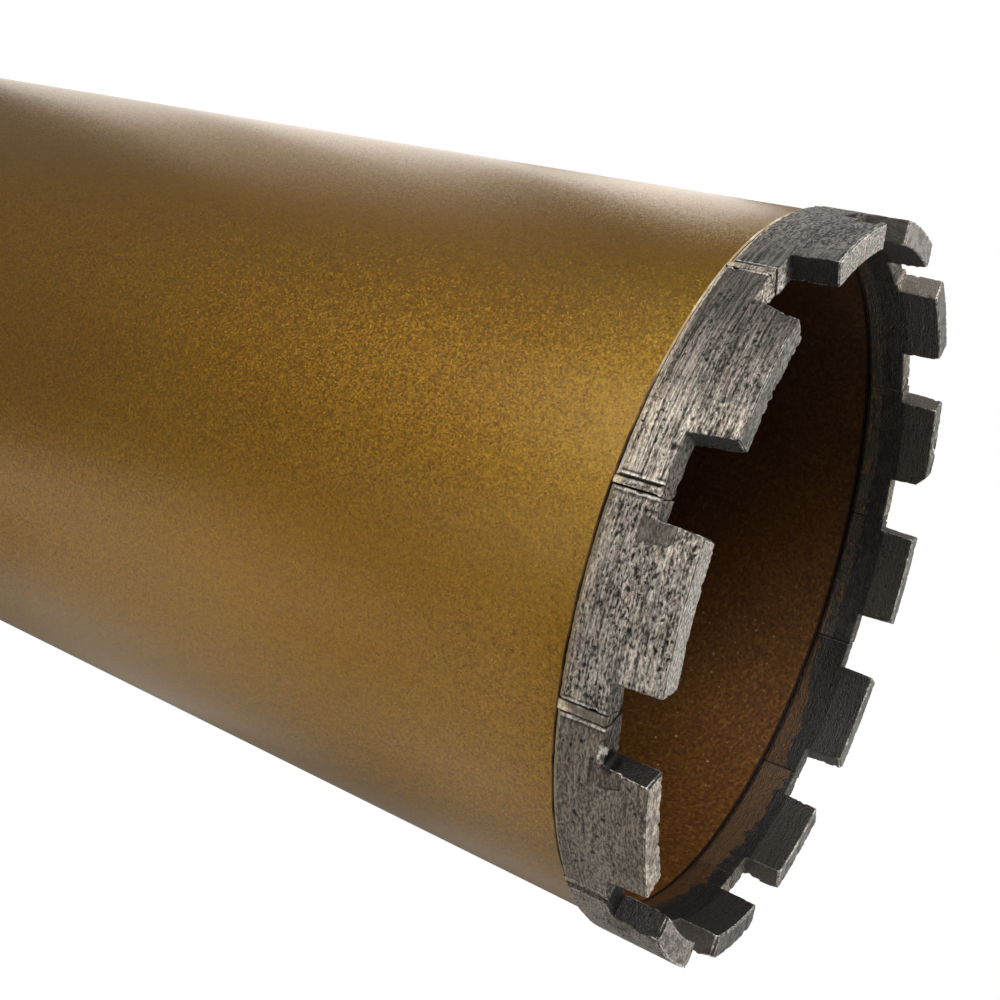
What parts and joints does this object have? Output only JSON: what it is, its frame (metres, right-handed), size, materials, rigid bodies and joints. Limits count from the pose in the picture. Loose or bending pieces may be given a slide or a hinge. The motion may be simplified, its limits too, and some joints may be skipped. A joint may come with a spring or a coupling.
{
  "type": "diamond core bit",
  "caption": "Thin-walled steel core drill barrel with a gold painted tube, a crown of slotted diamond segments and a threaded spindle hub.",
  "frame": {"origin": "centre of the hub's seating face, under the bit as it stands on its hub", "axes": "+Z along the bit's axis from the hub to the crown; the side seen from -Y is the one the source picture looks at"},
  "size_m": [0.1523, 0.1525, 0.4376],
  "materials": {
    "barrel_paint": "metallic gold-bronze paint with fine sparkle",
    "segment_matrix": "ground sintered metal with pores",
    "weld_metal": "dark weld and braze metal",
    "hub_steel": "painted steel hub with bare thread and seating face"
  },
  "bodies": {
    "root": {"barrel_tube": "barrel_paint", "end_plate": "barrel_paint", "barrel_weld_bead": "barrel_paint", "hub_weld_bead": "barrel_paint", "threaded_hub": "hub_steel", "root_weld_seam": "weld_metal", "segment_01": "segment_matrix", "segment_02": "segment_matrix", "segment_03": "segment_matrix", "segment_04": "segment_matrix", "segment_05": "segment_matrix", "segment_06": "segment_matrix", "segment_07": "segment_matrix", "segment_08": "segment_matrix", "segment_09": "segment_matrix", "segment_10": "segment_matrix", "segment_11": "segment_matrix", "segment_12": "segment_matrix", "joint_fill_01_02": "weld_metal", "joint_fill_02_03": "weld_metal", "joint_fill_03_04": "weld_metal", "joint_fill_04_05": "weld_metal", "joint_fill_05_06": "weld_metal", "joint_fill_06_07": "weld_metal", "joint_fill_07_08": "weld_metal", "joint_fill_08_09": "weld_metal", "joint_fill_09_10": "weld_metal", "joint_fill_10_11": "weld_metal", "joint_fill_11_12": "weld_metal", "joint_fill_12_01": "weld_metal"}
  },
  "joints": []
}
